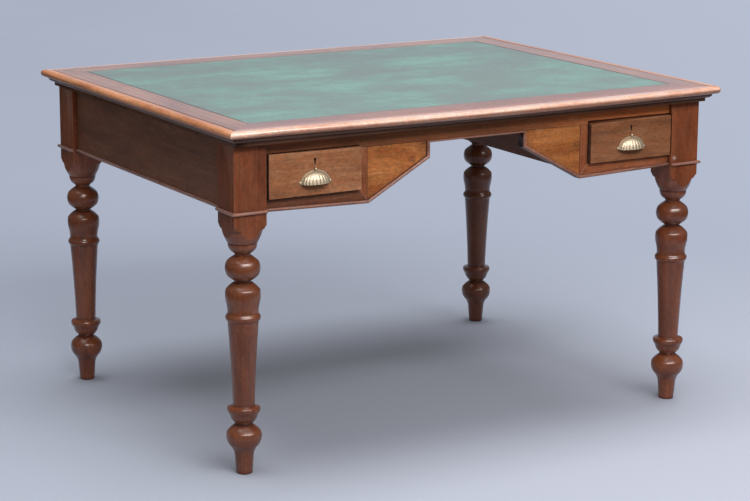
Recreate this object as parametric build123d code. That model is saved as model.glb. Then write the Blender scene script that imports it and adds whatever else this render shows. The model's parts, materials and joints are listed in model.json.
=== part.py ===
from build123d import *
from math import cos, hypot, pi, sin, sqrt
import os

# A free-standing mahogany writing desk with a drawer at each end of both long sides.
# Millimetres. X runs along the desk, the photographed side faces -Y, +Z is up,
# and the origin is on the floor under the middle of the top.

os.makedirs("parts", exist_ok=True)

# Whole desk
top_length = 1260.0
top_depth = 992.0
desk_height = 754.0
end_overhang = 28.0
side_overhang = 42.0
cut_overrun = 20.0

# Top
lip_thickness = 17.0
lip_width = 21.0
leather_margin = 84.0
leather_thickness = 1.5
tongue_thickness = 6.0
tongue_depth = 8.0

# Moulding under the lip: a fillet, an ovolo and an upright band
moulding_setback = 13.5
moulding_height = 19.0
moulding_fillet = 3.0
moulding_band = 8.5
moulding_ovolo = 11.0
moulding_ovolo_bow_share = 0.2

# Frieze
leg_square = 76.0
frieze_height = 160.0
frieze_recess = 12.0
rail_thickness = 18.0
end_apron_thickness = 20.0
top_rail_height = 45.0
bottom_rail_height = 19.0
opening_width = 229.0
stile_width = 20.0
spandrel_length = 148.0
spandrel_end_height = 39.2
spandrel_thickness = 17.0

# Joints of the frieze
tenon_thickness = 9.0
tenon_length = 28.0
tenon_shoulder = 4.0
apron_tenon_shoulder = 20.0
haunch = 10.0
stile_tenon_length = 15.0

# Bead along the lower edge of the frieze and round the leg blocks
bead_thickness = 7.0
bead_projection = 5.0
block_bead_projection = 6.0

# Turned part of a leg, up from the floor to the foot of the long taper
foot_radius = 17.6
foot_chamfer = 1.5
ankle_radius = 20.5
ankle_height = 40.0
instep_radius = 27.5
instep_height = 19.5
bulb_shoulder_radius = 36.5
bulb_body_height = 33.5
bulb_crown_height = 17.5
neck_radius = 17.3
neck_height = 2.0
cup_foot_radius = 19.0
cup_radius = 30.2
cup_height = 19.0
collar_foot_radius = 32.3
collar_step = 3.5
collar_top_radius = 34.0
collar_height = 13.5
shaft_foot_radius = 23.3
shaft_step = 3.5

# Turned part of a leg, down from the square block to the head of the long taper
pummel_drop = 31.0
pummel_radius = 55.0
pummel_edge_radius = 48.0
pummel_edge_height = 9.5
bell_radius = 43.5
bell_step = 2.0
bell_foot_radius = 31.4
bell_height = 29.0
groove_radius = 29.5
groove_height = 1.5
astragal_radius = 31.3
astragal_height = 21.0
upper_neck_height = 5.0
ball_flank_radius = 33.2
ball_flank_height = 12.0
ball_waist_height = 31.0
lower_neck_height = 2.0
vase_crown_radius = 36.7
vase_crown_height = 17.0
vase_shoulder_radius = 36.2
vase_shoulder_height = 25.5
vase_waist_radius = 32.6
vase_waist_height = 23.5
ring_foot_radius = 33.3
ring_top_radius = 34.4
ring_step = 4.0
ring_height = 14.5
shaft_head_radius = 32.9
shaft_head_step = 3.5

# How far each turned curve bows out from its chord, as a share of the chord
instep_bow_share = -0.07
bulb_body_bow_share = 0.145
bulb_crown_bow_share = 0.05
cup_bow_share = 0.1
collar_bow_share = 0.17
shaft_bow_share = -0.006
ring_bow_share = 0.25
vase_waist_bow_share = -0.03
vase_body_bow_share = 0.055
vase_crown_bow_share = 0.055
ball_foot_bow_share = 0.04
ball_waist_bow_share = 0.145
ball_crown_bow_share = 0.03
astragal_bow_share = 0.16
bell_bow_share = 0.05
pummel_bow_share = -0.08

# Drawer case work
runner_width = 20.0
seat_gap = 0.3
kicker_height = 20.0
guide_height = 22.0
stop_width = 16.0
stop_height = 12.0

# Drawer
front_setback = 1.0
front_thickness = 24.0
front_gap = 1.0
leg_side_gap = 3.0
top_gap = 2.0
side_thickness = 10.0
side_drop = 2.5
back_thickness = 10.0
middle_gap = 68.0
bottom_thickness = 6.0
bottom_rise = 8.0
bottom_groove = 5.0
lap_thickness = 8.0
tail_count = 3
tail_slope_share = 1 / 6
tail_width_share = 0.62

# Drawer lock
lock_width = 46.0
lock_height = 34.0
lock_depth = 9.0
lock_flange = 6.0
lock_plate = 1.5
bolt_width = 18.0
bolt_thickness = 3.0
bolt_length = 22.0
bolt_travel = 7.0
bolt_clearance = 0.1
bolt_headroom = 3.0
mortise_clearance = 1.0
keyhole_radius = 2.8
keyhole_foot_width = 2.6
keyhole_length = 13.5
keyhole_drop = 16.5

# Scallop shell cup pull
shell_half_width = 34.0
shell_rise = 27.0
shell_projection = 18.0
shell_wall = 2.4
lobe_count = 11
lobe_bow_share = 0.17
crown_bow_share = 0.036
flange_width = 2.4
flange_thickness = 1.6
ear_radius = 4.0
ear_rise = 3.2
finial_radius = 3.0
finial_rise_share = 1.6
pin_radius = 1.3
pin_head_radius = 2.2
pin_depth = 11.0
pull_rise_share = 0.79

# Levels of the shell: share of its rise, and how far the lobes stand out there
shell_levels = (
    (0.0, 1.0),
    (0.2, 1.0),
    (0.4, 0.9),
    (0.57, 0.7),
    (0.72, 0.4),
    (0.84, 0.15),
    (0.93, 0.0),
    (0.985, 0.0),
)

# Screws that hold the top down, in pockets bored up through the frieze
screw_radius = 2.2
screw_head_radius = 4.2
screw_head_height = 2.6
screw_length = 46.0
screw_bite = 11.0
screw_lean = 9.0
pocket_radius = 5.5
long_rail_screws = 3
end_apron_screws = 2
screw_spread_share = 0.66

# Levels and planes that the sizes above give
half_length = top_length / 2
half_depth = top_depth / 2
underside = desk_height - lip_thickness
frieze_bottom = underside - frieze_height
opening_top = underside - top_rail_height
opening_bottom = frieze_bottom + bottom_rail_height
block_x = half_length - end_overhang
block_y = half_depth - side_overhang
leg_x = block_x - leg_square / 2
leg_y = block_y - leg_square / 2
bay_end = block_x - leg_square
bay_side = block_y - leg_square
rail_face = block_y - frieze_recess
rail_back = rail_face - rail_thickness
apron_face = block_x - frieze_recess
apron_back = apron_face - end_apron_thickness
stile_outer = bay_end - opening_width
stile_inner = stile_outer - stile_width
spandrel_end = stile_inner - spandrel_length
spandrel_end_bottom = opening_top - spandrel_end_height

sides = {"front": 0, "back": 180}
ends = {"right": 90, "left": -90}
corners = {
    "front_left": (-1, -1),
    "front_right": (1, -1),
    "back_left": (-1, 1),
    "back_right": (1, 1),
}


def slab(low, high):
    """A box between two opposite corners."""
    size = [high[i] - low[i] for i in range(3)]
    middle = [(high[i] + low[i]) / 2 for i in range(3)]
    return Pos(*middle) * Box(*size)


def plate(points, direction, thickness):
    """A flat plate with the given outline, thickened along a direction."""
    return extrude(Face(Polyline(*points, close=True).wire()), amount=thickness, dir=direction)


def bowed(start, end, bow_share):
    """A line from start to end in the XZ plane, bowed away from the Z axis by a share of its length."""
    if not bow_share:
        return Line(start, end)
    run, rise = end[0] - start[0], end[2] - start[2]
    middle = ((start[0] + end[0]) / 2 + rise * bow_share, 0, (start[2] + end[2]) / 2 - run * bow_share)
    return ThreePointArc(start, middle, end)


def outline_face(stations):
    """A face in the XZ plane from (radius, height, bow share to the next point) stations."""
    points = [(radius, 0, height) for radius, height, _ in stations]
    closing = points[1:] + points[:1]
    shares = [share for _, _, share in stations]
    return Face(Wire([bowed(a, b, share) for a, b, share in zip(points, closing, shares)]))


def save(name, *solids):
    """Write the solids of one node to its own STEP file."""
    body = solids[0] if len(solids) == 1 else Compound(children=list(solids))
    export_step(body, f"parts/{name}.step")


def turned_column():
    """The turned part of a leg and the rounded foot of its square block, about the Z axis."""
    members = [
        (0, 0, 0),
        (foot_radius - foot_chamfer, 0, 0),
        (foot_radius, foot_chamfer, 0),
        (ankle_radius, ankle_height - foot_chamfer, instep_bow_share),
        (instep_radius, instep_height, bulb_body_bow_share),
        (bulb_shoulder_radius, bulb_body_height, bulb_crown_bow_share),
        (neck_radius, bulb_crown_height, 0),
        (neck_radius, neck_height, 0),
        (cup_foot_radius, 0, cup_bow_share),
        (cup_radius, cup_height, 0),
        (collar_foot_radius, collar_step, collar_bow_share),
        (collar_top_radius, collar_height, 0),
        (shaft_foot_radius, shaft_step, shaft_bow_share),
    ]
    drops = [
        (pummel_radius, pummel_drop, 0),
        (pummel_edge_radius, pummel_edge_height, pummel_bow_share),
        (bell_radius, bell_step, 0),
        (bell_foot_radius, bell_height, bell_bow_share),
        (groove_radius, 0, 0),
        (groove_radius, groove_height, 0),
        (astragal_radius, 0, 0),
        (neck_radius, astragal_height, astragal_bow_share),
        (neck_radius, upper_neck_height, 0),
        (ball_flank_radius, ball_flank_height, ball_crown_bow_share),
        (ball_flank_radius, ball_waist_height, ball_waist_bow_share),
        (neck_radius, ball_flank_height, ball_foot_bow_share),
        (neck_radius, lower_neck_height, 0),
        (vase_crown_radius, vase_crown_height, vase_crown_bow_share),
        (vase_shoulder_radius, vase_shoulder_height, vase_body_bow_share),
        (vase_waist_radius, vase_waist_height, vase_waist_bow_share),
        (ring_top_radius, ring_step, 0),
        (ring_foot_radius, ring_height, ring_bow_share),
        (shaft_head_radius, shaft_head_step, 0),
    ]
    stations, level = [], 0
    for radius, rise, bow_share in members:
        level += rise
        stations.append((radius, level, bow_share))
    upper, level = [], frieze_bottom
    for radius, drop, bow_share in drops:
        level -= drop
        upper.append((radius, level, bow_share))
    stations += upper[::-1] + [(pummel_radius, underside, 0), (0, underside, 0)]
    return revolve(outline_face(stations), Axis.Z)


def leg_blank():
    """A leg on the Z axis, before its mortises: the turned column cut from a square post."""
    half = leg_square / 2
    return turned_column() & slab((-half, -half, 0), (half, half, underside))


def end_apron(turn):
    """The board between the two leg blocks of one end, with a tenon at each end."""
    board = slab((-bay_side, -apron_face, frieze_bottom), (bay_side, -apron_back, underside))
    centre = -(apron_face + apron_back) / 2
    half = tenon_thickness / 2
    reach = bay_side + tenon_length
    foot = frieze_bottom + apron_tenon_shoulder
    head = underside - apron_tenon_shoulder
    tenons = slab((-reach, centre - half, foot), (reach, centre + half, head))
    return Rot(0, 0, turn) * (board + tenons)


def rail_tenon(start, end, foot, head):
    """A tenon bar along X in the middle of the rails' thickness."""
    centre = -(rail_face + rail_back) / 2
    half = tenon_thickness / 2
    return slab((start, centre - half, foot), (end, centre + half, head))


def top_rail(turn):
    """The full-length rail over the drawers of one long side."""
    board = slab((-bay_end, -rail_face, opening_top), (bay_end, -rail_back, underside))
    reach = bay_end + tenon_length
    board += rail_tenon(-reach, reach, opening_top + tenon_shoulder, underside - haunch)
    for side in (-1, 1):
        board -= mirrored(stile_tenon(), side)
        board -= mirrored(bolt_mortise(), side)
    return Rot(0, 0, turn) * board


def mirrored(solid, side):
    """The solid as made at the right, or its mirror image at the left."""
    return solid if side > 0 else mirror(solid, about=Plane.YZ)


def bottom_rail():
    """The rail under the right drawer of the front, mitred to the stile."""
    outline = [
        (stile_inner, -rail_face, frieze_bottom),
        (bay_end, -rail_face, frieze_bottom),
        (bay_end, -rail_face, opening_bottom),
        (stile_outer, -rail_face, opening_bottom),
    ]
    foot = frieze_bottom + tenon_shoulder
    tenon = rail_tenon(bay_end, bay_end + tenon_length, foot, opening_bottom - tenon_shoulder)
    return plate(outline, (0, 1, 0), rail_thickness) + tenon


def stile_tenon():
    """The tenon of the stile, up into the top rail."""
    inset = stile_inner + tenon_shoulder
    return rail_tenon(inset, stile_outer - tenon_shoulder, opening_top, opening_top + stile_tenon_length)


def stile():
    """The upright between the right drawer of the front and its spandrel."""
    outline = [
        (stile_inner, -rail_face, frieze_bottom),
        (stile_outer, -rail_face, opening_bottom),
        (stile_outer, -rail_face, opening_top),
        (stile_inner, -rail_face, opening_top),
    ]
    return plate(outline, (0, 1, 0), rail_thickness) + stile_tenon()


def spandrel():
    """The slanted panel from the right stile towards the kneehole."""
    outline = [
        (stile_inner, -rail_back, frieze_bottom),
        (stile_inner, -rail_back, opening_top),
        (spandrel_end, -rail_back, opening_top),
        (spandrel_end, -rail_back, spandrel_end_bottom),
    ]
    return plate(outline, (0, -1, 0), spandrel_thickness)


def half_round_bar(start, end, back, front):
    """A bar from start to end in the XZ plane, under that line, with a half-round front edge."""
    run, rise = end[0] - start[0], end[1] - start[1]
    length = hypot(run, rise)
    along = (run / length, 0, rise / length)
    down = (along[2], 0, -along[0])
    radius = bead_thickness / 2

    def at(drop, y):
        return (start[0] + down[0] * drop, y, start[1] + down[2] * drop)

    nose = front + radius
    section = Wire([
        Line(at(0, back), at(0, nose)),
        ThreePointArc(at(0, nose), at(radius, front), at(bead_thickness, nose)),
        Line(at(bead_thickness, nose), at(bead_thickness, back)),
        Line(at(bead_thickness, back), at(0, back)),
    ])
    bar = extrude(Face(section), amount=length + cut_overrun, dir=along)
    return bar + extrude(Face(section), amount=cut_overrun, dir=tuple(-c for c in along))


def offset_corner(before, corner, after):
    """Where the bead's lower lines meet under one corner of the frieze's edge."""
    def normal(a, b):
        length = hypot(b[0] - a[0], b[1] - a[1])
        return ((b[1] - a[1]) / length, -(b[0] - a[0]) / length)

    first, second = normal(before, corner), normal(corner, after)
    scale = bead_thickness / (1 + first[0] * second[0] + first[1] * second[1])
    return (corner[0] + (first[0] + second[0]) * scale, corner[1] + (first[1] + second[1]) * scale)


def frieze_beads(turn):
    """The seven mitred strips along the lower edge of one long side."""
    right = [
        (bay_end, frieze_bottom),
        (stile_inner, frieze_bottom),
        (spandrel_end, spandrel_end_bottom),
        (spandrel_end, opening_top),
    ]
    edge = [(-x, z) for x, z in right] + right[::-1]
    front, back = -rail_face - bead_projection, -rail_back
    strips = []
    below = [(edge[0][0], edge[0][1] - bead_thickness)]
    below += [offset_corner(*edge[i - 1:i + 2]) for i in range(1, len(edge) - 1)]
    below += [(edge[-1][0], edge[-1][1] - bead_thickness)]
    for i in range(len(edge) - 1):
        corners_xz = [edge[i], edge[i + 1], below[i + 1], below[i]]
        mitred = plate([(x, front, z) for x, z in corners_xz], (0, 1, 0), back - front)
        strips.append(Rot(0, 0, turn) * (half_round_bar(edge[i], edge[i + 1], back, front) & mitred))
    return strips


def planted_bead(start, end, back, front, mitre):
    """A level half-round strip along X, with its right end mitred by the given width."""
    level = frieze_bottom
    bar = half_round_bar((start, level), (end, level), back, front)
    outline = [
        (start, back, level),
        (end, back, level),
        (end + mitre, front, level),
        (start, front, level),
    ]
    return bar & plate(outline, (0, 0, -1), bead_thickness)


def block_bead(start, end, face):
    """The strip on one outer face of a leg block, mitred at the desk's corner."""
    return planted_bead(start, end, -face, -face - block_bead_projection, block_bead_projection)


def end_bead(turn):
    """The strip under one end apron."""
    strip = planted_bead(-bay_side, bay_side, -apron_back, -apron_face - bead_projection, 0)
    return Rot(0, 0, turn) * strip


def edge_strip(points, run, reach, mitre, depth):
    """A strip along the front edge from its (setback, height, bow share) section, with mitred ends."""
    section = Rot(0, 0, 90) * (Pos(-reach, 0, 0) * outline_face(points))
    bar = extrude(section, amount=run / 2, dir=(1, 0, 0), both=True)
    half = run / 2
    right = [(half, -reach), (half - mitre, -reach + mitre)]
    if depth > mitre:
        right.append((half - mitre, -reach + depth))
    outline = [(x, y, 0) for x, y in right] + [(-x, y, 0) for x, y in right[::-1]]
    return bar & plate(outline, (0, 0, 1), desk_height)


def lip_points():
    """The lip's section: a half-round nose on a flat strip."""
    nose = lip_thickness / 2
    return [
        (lip_width, underside, 0),
        (lip_width, desk_height, 0),
        (nose, desk_height, 1 / 2),
        (nose, underside, 0),
    ]


def leg_blocks():
    """The square tops of the four legs."""
    low, high = (bay_end, bay_side, frieze_bottom), (block_x, block_y, underside)
    right = [slab(low, high), mirror(slab(low, high), about=Plane.XZ)]
    return right + [mirror(block, about=Plane.YZ) for block in right]


def moulding_points(depth):
    """The section of the moulding under the lip, back to the frieze."""
    band = moulding_setback + moulding_ovolo
    foot = underside - moulding_height
    return [
        (moulding_setback, underside, 0),
        (moulding_setback, underside - moulding_fillet, moulding_ovolo_bow_share),
        (band, foot + moulding_band, 0),
        (band, foot, 0),
        (depth, foot, 0),
        (depth, underside, 0),
    ]


def border(run, reach):
    """One mitred border board between the lip and the leather, along the front."""
    half = run / 2
    right = [(half - lip_width, -reach + lip_width), (half - leather_margin, -reach + leather_margin)]
    outline = [(x, y, underside) for x, y in right] + [(-x, y, underside) for x, y in right[::-1]]
    return plate(outline, (0, 0, 1), lip_thickness)


def top_panel():
    """The panel under the leather, with a tongue all round."""
    x, y = half_length - leather_margin, half_depth - leather_margin
    board = slab((-x, -y, underside), (x, y, desk_height - leather_thickness))
    x, y = x + tongue_depth, y + tongue_depth
    middle = underside + (lip_thickness - leather_thickness) / 2
    half = tongue_thickness / 2
    return board + slab((-x, -y, middle - half), (x, y, middle + half))


def partition():
    """The board from front to back beside the right drawers."""
    return slab((stile_inner, -rail_back, frieze_bottom), (stile_outer, rail_back, underside))


# Drawer places, measured in the front right bay
drawer_inner = stile_outer + front_gap
drawer_outer = bay_end - leg_side_gap
drawer_middle = (drawer_inner + drawer_outer) / 2
front_face = block_y - front_setback
front_back = front_face - front_thickness
front_foot = opening_bottom + front_gap
front_head = opening_top - top_gap
side_head = front_head - side_drop
runner_top = front_foot - seat_gap
drawer_rear = middle_gap / 2
bottom_low = front_foot + bottom_rise
bottom_high = bottom_low + bottom_thickness
bolt_middle = front_back + lock_depth / 2
keyhole_head = front_head - keyhole_drop
keyhole_foot = keyhole_head - keyhole_length + keyhole_radius
pull_height = shell_rise + flange_width + finial_radius * finial_rise_share
pull_rise = (keyhole_foot - front_foot - pull_height) * pull_rise_share


def runners():
    """The four boards that the drawer sides slide on."""
    boards = []
    for side in (-1, 1):
        low = (stile_outer, -rail_back, frieze_bottom)
        inner = slab(low, (stile_outer + runner_width, rail_back, runner_top))
        start = drawer_outer - side_thickness - bottom_rise
        outer = slab((start, -rail_back, frieze_bottom), (bay_end, rail_back, runner_top))
        outer += slab((bay_end, -bay_side, frieze_bottom), (apron_back, bay_side, runner_top))
        boards += [mirrored(inner, side), mirrored(outer, side)]
    return boards


def guides():
    """The two battens that keep the drawers off the leg blocks."""
    low = (drawer_outer + front_gap, -bay_side, runner_top)
    batten = slab(low, (apron_back, bay_side, runner_top + guide_height))
    return [mirrored(batten, side) for side in (-1, 1)]


def kickers():
    """The four battens above the drawer sides, which stop an open drawer from tipping."""
    battens = []
    head = opening_top + kicker_height
    for side in (-1, 1):
        inner = slab((stile_outer, -rail_back, opening_top), (stile_outer + runner_width, rail_back, head))
        outer = slab((bay_end - runner_width, -rail_back, opening_top), (bay_end, rail_back, head))
        battens += [mirrored(inner, side), mirrored(outer, side)]
    return battens


def drawer_stops():
    """The four blocks on the runners that both drawers of a bay close against."""
    blocks = []
    reach = drawer_rear - seat_gap
    head = runner_top + stop_height
    for side in (-1, 1):
        for start in (stile_outer, drawer_outer - stop_width):
            block = slab((start, -reach, runner_top), (start + stop_width, reach, head))
            blocks.append(mirrored(block, side))
    return blocks


def tail_plate(x_low, x_high, baseline, tip, foot, head):
    """The dovetails of a drawer side, between their baseline and their tips."""
    pitch = (head - foot) / tail_count
    half = pitch * tail_width_share / 2
    flare = abs(tip - baseline) * tail_slope_share
    tails = []
    for k in range(tail_count):
        middle = foot + pitch * (k + 1 / 2)
        outline = [
            (x_low, baseline, middle - half + flare),
            (x_low, baseline, middle + half - flare),
            (x_low, tip, middle + half),
            (x_low, tip, middle - half),
        ]
        tails.append(plate(outline, (1, 0, 0), x_high - x_low))
    return tails


def drawer_side(x_low, x_high):
    """One side of the drawer, dovetailed at both ends and grooved for the bottom."""
    rear_base = -drawer_rear - back_thickness
    board = slab((x_low, -front_back, front_foot), (x_high, rear_base, side_head))
    foot, head = bottom_high, side_head
    for tail in tail_plate(x_low, x_high, -front_back, -front_face + lap_thickness, foot, head):
        board += tail
    for tail in tail_plate(x_low, x_high, rear_base, -drawer_rear, foot, head):
        board += tail
    board += slab((x_low, rear_base, front_foot), (x_high, -drawer_rear, bottom_high))
    return board - drawer_bottom()


def drawer_sides():
    """Both sides of the drawer in the front right bay."""
    inner = drawer_side(drawer_inner, drawer_inner + side_thickness)
    outer = drawer_side(drawer_outer - side_thickness, drawer_outer)
    return [inner, outer]


def drawer_bottom():
    """The bottom board, held in grooves and slid in under the back."""
    low = (drawer_inner + side_thickness - bottom_groove, -front_back - bottom_groove, bottom_low)
    high = (drawer_outer - side_thickness + bottom_groove, -drawer_rear, bottom_high)
    return slab(low, high)


def drawer_back(sides_of_drawer):
    """The back board over the bottom, with the sides' tails let through it."""
    low = (drawer_inner, -drawer_rear - back_thickness, bottom_high)
    board = slab(low, (drawer_outer, -drawer_rear, side_head))
    for side_board in sides_of_drawer:
        board -= side_board
    return board


def keyhole():
    """A cutter for the keyhole: a round head on a narrowing slot."""
    half = keyhole_foot_width / 2
    low = -front_face - cut_overrun
    depth = cut_overrun + front_thickness
    hole = Pos(drawer_middle, 0, keyhole_head) * Rot(90, 0, 0) * Cylinder(keyhole_radius, top_depth)
    through = slab((stile_outer, low, frieze_bottom), (bay_end, low + depth, underside))
    slot = [
        (drawer_middle - keyhole_radius, low, keyhole_head),
        (drawer_middle + keyhole_radius, low, keyhole_head),
        (drawer_middle + half, low, keyhole_foot),
        (drawer_middle - half, low, keyhole_foot),
    ]
    return (hole & through) + plate(slot, (0, 1, 0), depth)


def lock_body():
    """The lock's case, back plate and top plate, without its bolt's channel."""
    half = lock_width / 2
    wide = half + lock_flange
    foot = front_head - lock_height
    low = -front_back - lock_depth
    case = slab((drawer_middle - half, low, foot), (drawer_middle + half, -front_back, front_head))
    plate_face = -front_back - lock_plate
    back_plate = slab(
        (drawer_middle - wide, plate_face, foot - lock_flange),
        (drawer_middle + wide, -front_back, front_head),
    )
    top_plate = slab(
        (drawer_middle - wide, low, front_head - lock_plate),
        (drawer_middle + wide, -front_back, front_head),
    )
    return case + back_plate + top_plate


def bolt_box(clearance, low, high):
    """A box round the lock bolt with the given clearance."""
    x, y = bolt_width / 2 + clearance, bolt_thickness / 2 + clearance
    return slab((drawer_middle - x, -bolt_middle - y, low), (drawer_middle + x, -bolt_middle + y, high))


def bolt_mortise():
    """The mortise in the top rail that the raised bolt enters."""
    head = front_head + bolt_travel + bolt_headroom
    return bolt_box(mortise_clearance, front_head, head)


def lock():
    """The lock with the bolt's channel and the pin that carries the key."""
    channel_foot = front_head - bolt_length - bolt_headroom
    body = lock_body() - bolt_box(bolt_clearance, channel_foot, front_head + cut_overrun)
    low = -front_back - lock_depth
    deep = low + (lock_depth - lock_plate) / 2
    body -= keyhole() & slab((stile_outer, low - cut_overrun, frieze_bottom), (bay_end, deep, underside))
    return body


def lock_bolt():
    """The bolt, at rest just under the top of the drawer front."""
    head = front_head - seat_gap
    return bolt_box(0, head - bolt_length, head)


def scallop_level(half_width, projection, height, bow_share):
    """A level slice of the shell: half an ellipse whose edge is a row of lobes."""
    points = []
    for k in range(lobe_count + 1):
        angle = pi * k / lobe_count
        points.append((half_width * cos(angle), -projection * sin(angle), height))
    edges = [Line(points[-1], points[0])]
    for start, end in zip(points[:-1], points[1:]):
        if not bow_share:
            edges.append(Line(start, end))
            continue
        run, rise = end[0] - start[0], end[1] - start[1]
        middle = (
            (start[0] + end[0]) / 2 - rise * bow_share,
            (start[1] + end[1]) / 2 + run * bow_share,
            height,
        )
        edges.append(ThreePointArc(start, middle, end))
    return Face(Wire(edges))


def scallop_loft(inset, crown_bow, lobe_bow, drop):
    """A closed dome through level slices that shrink to the top, where the lobes die away."""
    slices = []
    for share, lobe_share in shell_levels:
        width = sqrt(1 - share ** 2)
        height = (shell_rise - inset) * share - (0 if share else drop)
        half = (shell_half_width - inset) * width
        bow = crown_bow + (lobe_bow - crown_bow) * lobe_share
        slices.append(scallop_level(half, (shell_projection - inset) * width, height, bow))
    return loft(slices, ruled=True)


def half_ellipse(half_width, rise, thickness):
    """A half-ellipse plate that stands on the drawer front."""
    upper = slab((-half_width, -thickness, 0), (half_width, thickness, rise))
    disc = extrude(Plane.XZ * Ellipse(half_width, rise), amount=thickness)
    return disc & upper


def pull():
    """The scallop shell pull and its two pins, on the origin of the drawer's face."""
    hollow = scallop_loft(shell_wall, 0, 0, cut_overrun)
    flange = half_ellipse(shell_half_width + flange_width, shell_rise + flange_width, flange_thickness)
    shell = scallop_loft(0, crown_bow_share, lobe_bow_share, 0) + flange
    ear_x = shell_half_width + flange_width / 2
    seats = [(-ear_x, 0, ear_rise), (ear_x, 0, ear_rise)]
    for x, _, z in seats:
        shell += Pos(x, -flange_thickness / 2, z) * Rot(90, 0, 0) * Cylinder(ear_radius, flange_thickness)
    shell -= hollow
    shell += Pos(0, -finial_radius, pull_height - finial_radius) * Sphere(finial_radius)
    pins = []
    for x, _, z in seats:
        shank = Pos(x, (pin_depth - flange_thickness) / 2, z)
        shank *= Rot(90, 0, 0) * Cylinder(pin_radius, pin_depth + flange_thickness)
        head = Pos(x, -flange_thickness, z) * Sphere(pin_head_radius)
        head &= slab((x - ear_radius, -cut_overrun, 0), (x + ear_radius, -flange_thickness, shell_rise))
        pins.append(shank + head)
    for pin in pins:
        shell -= pin
    return [shell] + pins


def drawer_face(sides_of_drawer, lock_case, pins):
    """The drawer front with its keyhole, lock recess, sockets and pin holes."""
    low = (drawer_inner, -front_face, front_foot)
    board = slab(low, (drawer_outer, -front_back, front_head))
    board -= keyhole()
    board -= lock_case
    board -= drawer_bottom()
    board -= bolt_box(bolt_clearance, front_head - lock_height, front_head)
    for cutter in sides_of_drawer + pins:
        board -= cutter
    return board


def placed(solid, side, turn):
    """A solid of the front right bay, moved to another bay."""
    return Rot(0, 0, turn) * mirrored(solid, side)


def screw_blank():
    """A screw that points up, with its countersunk head at the origin."""
    shank = Pos(0, 0, screw_length / 2) * Cylinder(screw_radius, screw_length)
    cone = Pos(0, 0, screw_head_height / 2) * Cone(screw_head_radius, screw_radius, screw_head_height)
    return shank + cone


def pocket_blank():
    """The bored pocket under a screw's head."""
    depth = screw_length
    return Pos(0, 0, -depth / 2) * Cylinder(pocket_radius, depth)


def screw_places():
    """Where each top screw stands, leaning out through a rail or an apron."""
    places = []
    drop = underside + screw_bite - screw_length * cos(screw_lean * pi / 180)
    for turn, reach, count, face in (
        (0, bay_end, long_rail_screws, (rail_face + rail_back) / 2),
        (180, bay_end, long_rail_screws, (rail_face + rail_back) / 2),
        (90, bay_side, end_apron_screws, (apron_face + apron_back) / 2),
        (-90, bay_side, end_apron_screws, (apron_face + apron_back) / 2),
    ):
        middle = (underside + screw_bite / 2 - drop) / 2 * sin(screw_lean * pi / 180)
        for k in range(count):
            along = reach * screw_spread_share * (2 * k / (count - 1) - 1)
            places.append(Rot(0, 0, turn) * Pos(along, -face + middle, drop) * Rot(screw_lean, 0, 0))
    return places


screws = [place * screw_blank() for place in screw_places()]
pockets = [place * pocket_blank() for place in screw_places()]


def screwed(solid, with_pockets=True):
    """The solid with the screw holes, and the pockets under them, bored in it."""
    for cutter in screws + (pockets if with_pockets else []):
        if solid.bounding_box().overlaps(cutter.bounding_box()):
            solid -= cutter
    return solid


# Top
save("top_panel", top_panel())
x_edge, y_edge = half_length - leather_margin, half_depth - leather_margin
leather_low = (-x_edge, -y_edge, desk_height - leather_thickness)
save("leather_inset", slab(leather_low, (x_edge, y_edge, desk_height)))
for name, turn in sides.items():
    board = Rot(0, 0, turn) * border(top_length, half_depth) - top_panel()
    save(f"border_{name}", screwed(board, False))
for name, turn in ends.items():
    board = Rot(0, 0, turn) * border(top_depth, half_length) - top_panel()
    save(f"border_{name}", screwed(board, False))
side_lip = edge_strip(lip_points(), top_length, half_depth, lip_width, lip_width)
end_lip = edge_strip(lip_points(), top_depth, half_length, lip_width, lip_width)
save("lip_sides", *[Rot(0, 0, turn) * side_lip for turn in sides.values()])
save("lip_ends", *[Rot(0, 0, turn) * end_lip for turn in ends.values()])
strips = []
for directions, run, reach, overhang in (
    (sides, top_length, half_depth, side_overhang),
    (ends, top_depth, half_length, end_overhang),
):
    depth = overhang + frieze_recess
    strip = edge_strip(moulding_points(depth), run, reach, end_overhang, depth)
    for turn in directions.values():
        moulding = Rot(0, 0, turn) * strip
        for block in leg_blocks():
            moulding -= block
        strips.append(moulding)
save("under_moulding", *strips)

# Frieze
aprons = {name: end_apron(turn) for name, turn in ends.items()}
rails = {name: top_rail(turn) for name, turn in sides.items()}
low_rails = {name: [placed(bottom_rail(), side, turn) for side in (-1, 1)] for name, turn in sides.items()}
for name, board in aprons.items():
    save(f"end_apron_{name}", screwed(board))
for name, turn in sides.items():
    save(f"top_rail_{name}", screwed(rails[name]))
    save(f"bottom_rails_{name}", *low_rails[name])
    save(f"stiles_{name}", *[placed(stile(), side, turn) for side in (-1, 1)])
    save(f"spandrels_{name}", *[placed(spandrel(), side, turn) for side in (-1, 1)])

# Beads
end_strips = [end_bead(turn) for turn in ends.values()]
for name, turn in sides.items():
    face_strips = [placed(block_bead(bay_end, block_x, block_y), side, turn) for side in (-1, 1)]
    save(f"bead_{name}", *frieze_beads(turn), *face_strips)
for turn in ends.values():
    end_strips += [placed(block_bead(bay_side, block_y, block_x), side, turn) for side in (-1, 1)]
save("bead_ends", *end_strips)

# Legs
blank = leg_blank()
for name, (x_side, y_side) in corners.items():
    leg = Pos(x_side * leg_x, y_side * leg_y, 0) * blank
    leg -= aprons["right" if x_side > 0 else "left"]
    row = "back" if y_side > 0 else "front"
    leg -= rails[row]
    for board in low_rails[row]:
        leg -= board
    save(f"leg_{name}", leg)

# Drawer case work
save("partitions", *[mirrored(partition(), side) for side in (-1, 1)])
save("runners", *runners(), *guides())
save("kickers", *kickers())
save("drawer_stops", *drawer_stops())
save("top_screws", *screws)

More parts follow.
